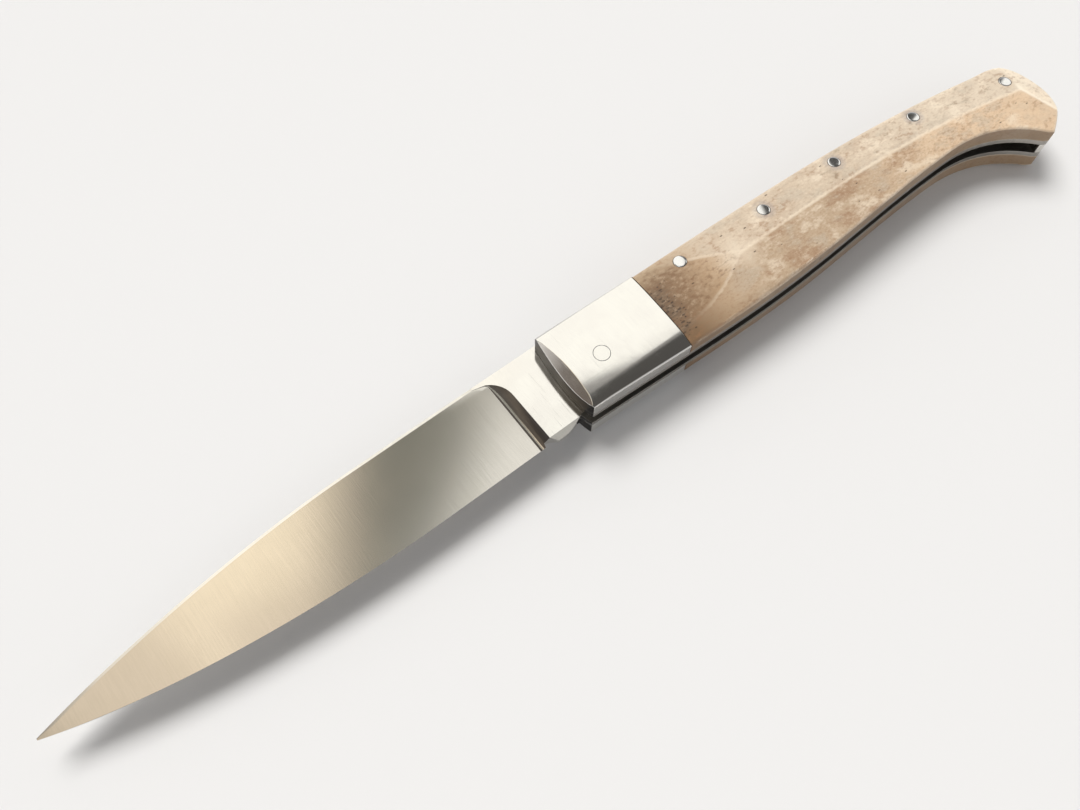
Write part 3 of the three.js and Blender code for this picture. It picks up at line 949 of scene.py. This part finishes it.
# A mask is the name of one made before, or what it reads, the values between which it fades, and its
# two results if they aren't 0 and 1. Here: strength and the masks that are multiplied, in order.
boneMasks = {
    "inFront": (1, ("overFront", 1, -1.5)),
    "cleanTail": (1, ("x", 97, 103, 1, 0.4)),
    "clouds": (0.48, ("cloud", 0.47, 0.62), ("fromBrown", 30, 12, 0.25, 1), ("side", 1.5, -0.5, 0.35, 1)),
    # Near the joint with the bolster: pores grow denser there, and it carries painted shade
    "nearJoint": (1, ("jointWay", 18.6, 15.2), ("fromMiddle", 6.5, 4)),
    "smudges": (1, ("patches", 0.58, 0.70), ("mottle", 0.42, 0.62, 0.25, 1),
                ("side", 0.4, 1.6), ("x", 44, 60), ("x", 104, 98)),
    # Painted highlights: pale lines along the ridge, the front's border and the tail facet's border
    "ridgeLine": (1, ("fromRidge", 0.56, 0.05), ("x", 31, 34), ("overTail", 0.5, 0)),
    "frontLine": (0.6, ("fromFront", 0.52, 0.1), ("x", 17, 28, 0.1, 1)),
    "tailLine": (1, ("fromTail", 0.8, 0.05), ("side", 3, 0)),
}

# Specks in cells: their size and how it grows, how many cells go without, and their soft edge
boneSpecks = {
    "pits": {"stretch": (0.9, 2.2, 2.2), "size": 0.06, "jointGrowth": 0.14, "growth": 0.3, "without": 0.988,
             "jointShare": 0.7, "cloudShare": 0.04, "edge": (0.06, -0.04)},
    "dots": {"stretch": (1.7, 3, 3), "size": 0.12, "jointGrowth": 0, "growth": 0.3, "without": 1,
             "jointShare": 0.6, "cloudShare": 0, "edge": (0.08, -0.04)},
}

# Glazes laid over the ground colors, in order: color, strength and masks
boneGlazes = [
    ("brown", 1, "clouds"),
    ("gray", 0.5, ("haze", 0.50, 0.66), ("x", 22, 34), "cleanTail"),
    ("pale", 0.5, ("haze", 0.50, 0.34), ("x", 24, 40)),
    ("brown", 1, ("mottle", 0.50, 0.66), ("cloud", 0.40, 0.6, 0.16, 0.5)),
    ("brown", 1, ("grain", 0.50, 0.70), ("side", -1, 1.5, 0.38, 0.25), "cleanTail"),
    ("blotch", 0.4, ("mottle", 0.48, 0.64), "inFront"),
    ("belly", 0.45, ("mottle", 0.47, 0.34), "inFront"),
    ("pale", 0.24, ("grain", 0.48, 0.30), ("x", 24, 36)),
    ("brown", 0.18, ("fibre", 0.55, 0.8)),
    ("pale", 0.5, ("fromApex", 7, 0)),
    # Painted highlight lines along the ridge and the borders of the front and the tail facet
    ("pale", 1, "lines", ("haze", 0.35, 0.6, 0.25, 0.6)),
    ("rim", 0.5, "tailLine"),
    ("stain", 0.4, ("fromPins", 7, 1.8), ("fromStain", 30, 24), ("mottle", 0.35, 0.6, 0.4, 1)),
    # Painted highlight on the rounded edges, partly wear too
    ("rim", 0.85, "worn", ("fromPins", 4, 6), ("x", 14.6, 15.5)),
    # Painted shade: the side walls darker
    ("wall", 0.75, ("rise", 0.4, 0.05)),
    ("seam", 0.75, ("fromPins", 1.95, 1.6)),
    # Painted shade: darker along the joint with the bolster
    ("seam", 1, "nearJoint", ("fibre", 0.35, 0.65, 0.15, 0.6)),
    ("pore", 0.8, "pits"),
    ("pore", 0.85, "dots"),
    ("spot", 0.5, "smudges"),
]


# Square of the distance to the nearest pin
def nearestPin(tree, x, y):
    nearest = None
    for pinX, pinY in pinPlaces:
        across, along = maths(tree, "SUBTRACT", x, pinX), maths(tree, "SUBTRACT", y, pinY)
        square = maths(tree, "ADD", times(tree, across, across), times(tree, along, along))
        nearest = square if nearest is None else maths(tree, "MINIMUM", nearest, square)
    return nearest


# How far a point lies from the ridge and past the borders of the front and of the tail's facet
def boneBorders(tree, x, y):
    shape = handleShape
    calc = partial(maths, tree)
    reach = shape["ridgeReach"] - shape["apexReach"]
    along = calc("DIVIDE", calc("MAXIMUM", calc("SUBTRACT", x, shape["apexReach"]), 0), reach)
    ridge = calc("SUBTRACT", shape["ridgeOffset"], times(tree, calc("POWER", along, 3), shape["ridgeSag"]))
    side = calc("SUBTRACT", y, ridge)
    away = calc("ABSOLUTE", side)
    steeper = times(tree, calc("GREATER_THAN", side, 0), shape["spineSlope"] - shape["bellySlope"])
    slope = calc("ADD", shape["bellySlope"], steeper)
    tailBorder = times(tree, away, calc("DIVIDE", slope, shape["tailFacetSlope"]))
    overTail = calc("SUBTRACT", calc("SUBTRACT", x, shape["tailFacetReach"]), tailBorder)
    toApex = calc("SUBTRACT", shape["apexReach"] + boneLook["apexShift"], x)
    over = []
    for name, outward in (("spine", 1), ("belly", -1)):
        first, rate, bend = frontBorders[name]
        border = calc("SUBTRACT", times(tree, toApex, rate), times(tree, toApex, toApex, bend))
        over.append(calc("SUBTRACT", times(tree, calc("SUBTRACT", y, first), outward), border))
    fromApex = calc("ADD", calc("ABSOLUTE", toApex), away)
    return {"side": side, "fromApex": fromApex, "overTail": overTail, "overFront": calc("MAXIMUM", *over)}


# Everything that the bone's masks read
def boneSources(tree):
    look = boneLook
    calc = partial(maths, tree)
    where = placeInMm(tree)
    x, y, _ = add(tree, "ShaderNodeSeparateXYZ", {0: where}).outputs
    normal = add(tree, "ShaderNodeNewGeometry").outputs["Normal"]
    at = {"where": where, "x": x, "y": y, **boneBorders(tree, x, y)}
    for name, (stretch, turn, detail, roughness) in bonePatterns.items():
        at[name] = noise(tree, stretched(tree, where, stretch, turn), 1, detail, roughness)
    wander = times(tree, calc("SUBTRACT", at["drift"], 0.5), look["wander"])
    at["tailWay"] = calc("ADD", x, wander)
    at["frontWay"] = calc("ADD", x, times(tree, wander, look["frontWander"]))
    at["jointWay"] = calc("ADD", x, times(tree, wander, look["jointWander"]))
    at["fromBrown"] = calc("ABSOLUTE", calc("SUBTRACT", x, look["brownMiddle"]))
    at["fromStain"] = calc("ABSOLUTE", calc("SUBTRACT", x, look["stainMiddle"]))
    at["fromMiddle"] = calc("ABSOLUTE", calc("SUBTRACT", y, look["jointMiddle"]))
    offset = times(tree, calc("SUBTRACT", at["mottle"], 0.5), look["lineDrift"])
    for name, border in (("fromRidge", "side"), ("fromFront", "overFront"), ("fromTail", "overTail")):
        at[name] = calc("ABSOLUTE", calc("ADD", at[border], offset))
    at["fromPins"] = nearestPin(tree, x, y)
    at["worn"] = useGroup(tree, wornEdges, Radius=look["wornRadius"] * mm)["Mask"]
    at["rise"] = calc("ABSOLUTE", add(tree, "ShaderNodeSeparateXYZ", {0: normal}).outputs[2])
    return at


def boneMask(tree, at, *masks):
    made = [at[mask] if isinstance(mask, str) else fade(tree, at[mask[0]], *mask[1:]) for mask in masks]
    return times(tree, *made)


def boneSpeckMask(tree, at, name):
    look = boneSpecks[name]
    calc = partial(maths, tree)
    vector = stretched(tree, at["where"], look["stretch"])
    cells = add(tree, "ShaderNodeTexVoronoi", {"Vector": vector, "Scale": 1}).outputs
    chance = add(tree, "ShaderNodeSeparateColor", {0: cells["Color"]}).outputs
    size = calc("ADD", look["size"], times(tree, at["nearJoint"], look["jointGrowth"]))
    size = calc("ADD", size, times(tree, chance[0], look["growth"]))
    often = calc("MAXIMUM", times(tree, at["nearJoint"], look["jointShare"]),
                 times(tree, at["clouds"], look["cloudShare"]))
    isThere = calc("GREATER_THAN", chance[1], calc("SUBTRACT", look["without"], often))
    return times(tree, isThere, fade(tree, calc("SUBTRACT", cells["Distance"], size), *look["edge"]))


# Colors of the front, the two facets and the tail, whose paler colour is partly a painted highlight
def boneGround(tree, mask):
    colors = boneColors
    front = mixColors(tree, mask(("frontWay", 16, 30)), colors["front"], colors["frontMiddle"])
    front = mixColors(tree, mask(("y", 4, 9, 0, 0.8)), front, colors["frontSpine"])
    front = mixColors(tree, mask(("x", 25, 33, 0, 0.7)), front, colors["spineTail"])
    tailward = mask(("tailWay", 56, 90))
    spine = mixColors(tree, tailward, colors["spine"], colors["spineTail"])
    belly = mixColors(tree, tailward, colors["belly"], colors["bellyTail"])
    facets = mixColors(tree, mask(("side", -0.4, 0.4)), belly, spine)
    facets = mixColors(tree, mask(("frontWay", 33, 15)), facets, front)
    body = mixColors(tree, mask(("overFront", -0.5, 0.5)), front, facets)
    return mixColors(tree, mask(("overTail", -0.5, 0.8, 0, 0.8)), body, colors["tail"])


def makeBone():
    look = boneLook
    material, tree, shader = startMaterial("bone", 0, {"IOR": look["refraction"]})
    calc = partial(maths, tree)
    at = boneSources(tree)
    mask = partial(boneMask, tree, at)
    for name, (strength, *masks) in boneMasks.items():
        at[name] = times(tree, mask(*masks), strength)
    at["lines"] = calc("MAXIMUM", calc("MAXIMUM", at["ridgeLine"], at["tailLine"]), at["frontLine"])
    for name in boneSpecks:
        at[name] = boneSpeckMask(tree, at, name)

    body = boneGround(tree, mask)
    for color, strength, *masks in boneGlazes:
        body = mixColors(tree, times(tree, mask(*masks), strength), body, boneColors[color])
    tree.links.new(body, shader["Base Color"])

    deep = calc("MAXIMUM", at["pits"], at["smudges"])
    rough = calc("ADD", look["roughness"], times(tree, at["mottle"], look["mottleRoughness"]))
    rough = calc("ADD", rough, times(tree, deep, look["pitRoughness"]))
    tree.links.new(rough, shader["Roughness"])
    relief = calc("ADD", times(tree, at["fibre"], look["fibreHeight"]),
                  times(tree, at["mottle"], look["mottleHeight"]))
    relief = calc("SUBTRACT", relief, times(tree, deep, look["pitDepth"]))
    tree.links.new(bump(tree, relief, look["relief"]), shader["Normal"])
    return material


bone = makeBone()
print("bone made")

put(boneUpper, "scale_upper", "handle", "bone", bone)
put(boneLower, "scale_lower", "handle", "bone", bone)
put(bolsterUpper, "bolster_upper", "handle", "polished_steel")
put(bolsterLower, "bolster_lower", "handle", "polished_steel")
put(linerUpper, "liner_upper", "handle", "liner_steel")
put(linerLower, "liner_lower", "handle", "liner_steel")
put(spring, "backspring", "handle", "polished_steel", steels["springSteel"])
put(blade, "blade", "blade", "satin_steel")
put(pivotPin, "pivot_pin", "handle", "polished_steel", steels["mirrorSteel"])
for nodeName, pin in pins.items():
    put(pin, nodeName, "handle", "polished_steel", steels["pinSteel"])

# The bolsters' own rivets are hidden, and stay as the CAD has them
for nodeName, node in nodes.items():
    if nodeName.startswith("bolster_rivet"):
        node.data.materials.clear()
        node.data.materials.append(steels["pinSteel"])

# Floor, lights and camera, set out in metres
studio = {
    "floor": (0.74, 0.74, 0.745), "wall": (0.86, 0.86, 0.865), "sky": (0.09, 0.086, 0.082),
    "horizon": (0.58, 0.58, 0.59), "horizonRise": (0.66, 0.45), "panelRise": (0.1, 0.2), "leastRise": 0.05,
    "floorSize": 6, "floorRoughness": 0.7,
}
keyLook = {"power": 2.7, "width": 31, "color": (1.0, 0.985, 0.96), "spot": (0.05, 0.5, 0.8)}
bpy.ops.mesh.primitive_plane_add(size=studio["floorSize"])
floor = bpy.context.object
floor.name = "floor"
floorFinish = {"Base Color": (*studio["floor"], 1), "Roughness": studio["floorRoughness"]}
floor.data.materials.append(startMaterial("floorPaint", 0, floorFinish)[0])


# Soft panels in the studio's sky, named for what they light or shade, and placed by slopes from
# straight up.
# Each edge is the heading that its inside faces, its distance from the top of the sky and its softness.
panels = {
    "bladeShade": ((0.22, 0.225, 0.20), [
        (180, -0.27, 0.03), (0, -0.5, 0.1), (90, 0.10, 0.05), (-90, -0.45, 0.05)]),
    "bladeGlimmer": ((0.32, 0.33, 0.31), [
        (0, 0.03, 0.03), (180, -0.17, 0.03), (90, 0.18, 0.03), (-90, -0.248, 0.012)]),
    "shoulder": ((0.30, 0.29, 0.28), [
        (0, 0.33, 0.03), (49.3, 0.375, 0.03), (180, -0.56, 0.05), (-90, -0.4, 0.1)]),
    "crown": ((1.20, 1.18, 1.12), [
        (0, 0.25, 0.035), (49.3, 0.447, 0.010), (144.6, -0.33, 0.08), (-90, -1.7, 0.2)]),
    "ricasso": ((1.20, 1.18, 1.12), [
        (0, 0.25, 0.035), (90, 0.31, 0.03), (144.6, -0.33, 0.08), (-90, -1.7, 0.2)]),
    "bladeHeel": ((1.10, 1.11, 1.09), [
        (-54.5, -0.097, 0.048), (180, -0.30, 0.03), (90, 0.06, 0.06), (-90, -0.31, 0.03)]),
    "bladeTip": ((0.92, 0.81, 0.67), [
        (149, 0.142, 0.05), (90, 0.10, 0.06), (0, -0.46, 0.12), (-90, -0.44, 0.06)]),
    "bladeMiddle": ((1.30, 1.16, 0.92), [
        (149, 0.18, 0.03), (77.6, 0.258, 0.02), (0, -0.19, 0.02), (-90, -0.44, 0.06)]),
    "bladeBand": ((1.30, 1.16, 0.92), [
        (0, -0.192, 0.012), (180, 0.162, 0.012), (90, 0.10, 0.06), (-90, -0.44, 0.06)]),
    "bladeSpine": ((1.25, 1.20, 1.10), [
        (90, 0.43, 0.02), (-90, -0.62, 0.05), (0, -0.34, 0.06), (180, -0.3, 0.05)]),
    "tailPin": ((1.15, 1.13, 1.08), [
        (0, 0.9, 0.03), (180, -1.9, 0.2), (90, 0.05, 0.1), (-73.3, -0.064, 0.02)]),
    "rampShade": ((0.14, 0.115, 0.10), [
        (180, 0.46, 0.05), (0, -1.2, 0.2), (90, 0.2, 0.1), (-90, -0.8, 0.1)]),
    "rampLight": ((0.85, 0.82, 0.80), [
        (180, 0.46, 0.05), (0, -1.2, 0.2), (90, 0.453, 0.027), (-90, -0.8, 0.1)]),
    "bellySide": ((0.80, 0.80, 0.80), [
        (180, -0.05, 0.1), (0, -1.4, 0.2), (-90, 0.38, 0.1), (90, -1.6, 0.2)]),
    "bellyFar": ((0.50, 0.49, 0.47), [
        (0, 0.05, 0.1), (180, -1.0, 0.2), (-90, 0.8, 0.1), (90, -1.8, 0.2)]),
}


def makeSky():
    world = bpy.data.worlds.new("studioSky")
    bpy.context.scene.world = world
    world.use_nodes = True
    tree = world.node_tree
    tree.nodes.clear()
    toward = add(tree, "ShaderNodeTexCoord").outputs["Generated"]
    x, y, z = add(tree, "ShaderNodeSeparateXYZ", {0: toward}).outputs
    height = maths(tree, "MAXIMUM", z, studio["leastRise"])
    u = maths(tree, "DIVIDE", x, height)
    v = maths(tree, "DIVIDE", y, height)
    color = mixColors(tree, fade(tree, z, *studio["horizonRise"]), studio["sky"], studio["horizon"])
    for panelColor, edges in panels.values():
        lit = fade(tree, z, *studio["panelRise"])
        for heading, distance, soft in edges:
            turn = math.radians(heading)
            inward = maths(tree, "ADD", times(tree, u, math.cos(turn)), times(tree, v, math.sin(turn)))
            lit = times(tree, lit, fade(tree, inward, distance - soft, distance + soft))
        color = mixColors(tree, lit, color, panelColor)
    seen = add(tree, "ShaderNodeLightPath").outputs["Is Camera Ray"]
    color = mixColors(tree, seen, color, studio["wall"])
    background = add(tree, "ShaderNodeBackground", {"Color": color, "Strength": 1})
    out = tree.nodes.new("ShaderNodeOutputWorld")
    tree.links.new(background.outputs[0], out.inputs[0])


makeSky()


def aim(obj, spot, toward):
    obj.location = spot
    obj.rotation_euler = (toward - spot).to_track_quat("-Z", "Y").to_euler()


key = bpy.data.lights.new("keyLamp", "SUN")
key.energy = keyLook["power"]
key.angle = math.radians(keyLook["width"])
key.color = keyLook["color"]
keyLamp = newObject("keyLamp", key)
keyLamp.visible_glossy = False
aim(keyLamp, Vector(keyLook["spot"]), Vector((0, 0, 0)))

# Camera: where it stands, its view's heading and dip, and its roll
shot = {
    "spot": (-0.05894, -0.04841, 0.14197), "heading": (0.627, 0.779), "dip": 63.8, "roll": 0.9,
    "lens": 29.17, "sensor": 36, "nearest": 0.01,
}
cameraData = bpy.data.cameras.new("shot")
cameraData.lens = shot["lens"]
cameraData.sensor_width = shot["sensor"]
cameraData.clip_start = shot["nearest"]
camera = newObject("shot", cameraData)
bpy.context.scene.camera = camera
dip, roll = math.radians(shot["dip"]), math.radians(shot["roll"])
flat = Vector((*shot["heading"], 0)).normalized()
ahead = flat * math.cos(dip) - Vector((0, 0, math.sin(dip)))
right = ahead.cross(Vector((0, 0, 1))).normalized()
up = right.cross(ahead)
right, up = right * math.cos(roll) + up * math.sin(roll), up * math.cos(roll) - right * math.sin(roll)
turned = Matrix((right, up, -ahead)).transposed().to_4x4()
camera.matrix_world = Matrix.Translation(shot["spot"]) @ turned

bpy.context.scene.view_settings.view_transform = "Standard"
